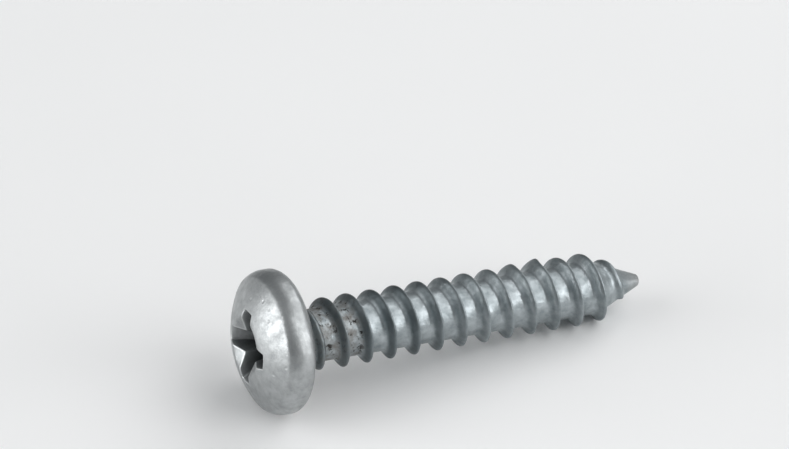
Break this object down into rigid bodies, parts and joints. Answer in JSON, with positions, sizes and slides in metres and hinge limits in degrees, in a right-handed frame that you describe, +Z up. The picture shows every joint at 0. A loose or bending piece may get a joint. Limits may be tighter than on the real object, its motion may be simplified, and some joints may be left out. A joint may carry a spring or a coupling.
{
  "type": "sheet metal screw",
  "caption": "Zinc-plated pan head tapping screw for sheet metal, with a cross recess in its rounded head, a coarse spaced thread up to the head and a blunt cone point.",
  "frame": {"origin": "on the floor under the middle of the lying screw's box", "axes": "+X along the screw from head to point, +Z up, Y across; the screw lies on the rim of its head and on a thread crest near its point, so its axis leans down toward the point"},
  "size_m": [0.0214, 0.0072, 0.0071],
  "materials": {
    "zinc_plated_steel": "satin bright zinc plating on cold-headed, thread-rolled steel"
  },
  "bodies": {
    "root": {"screw": "zinc_plated_steel"}
  },
  "joints": []
}
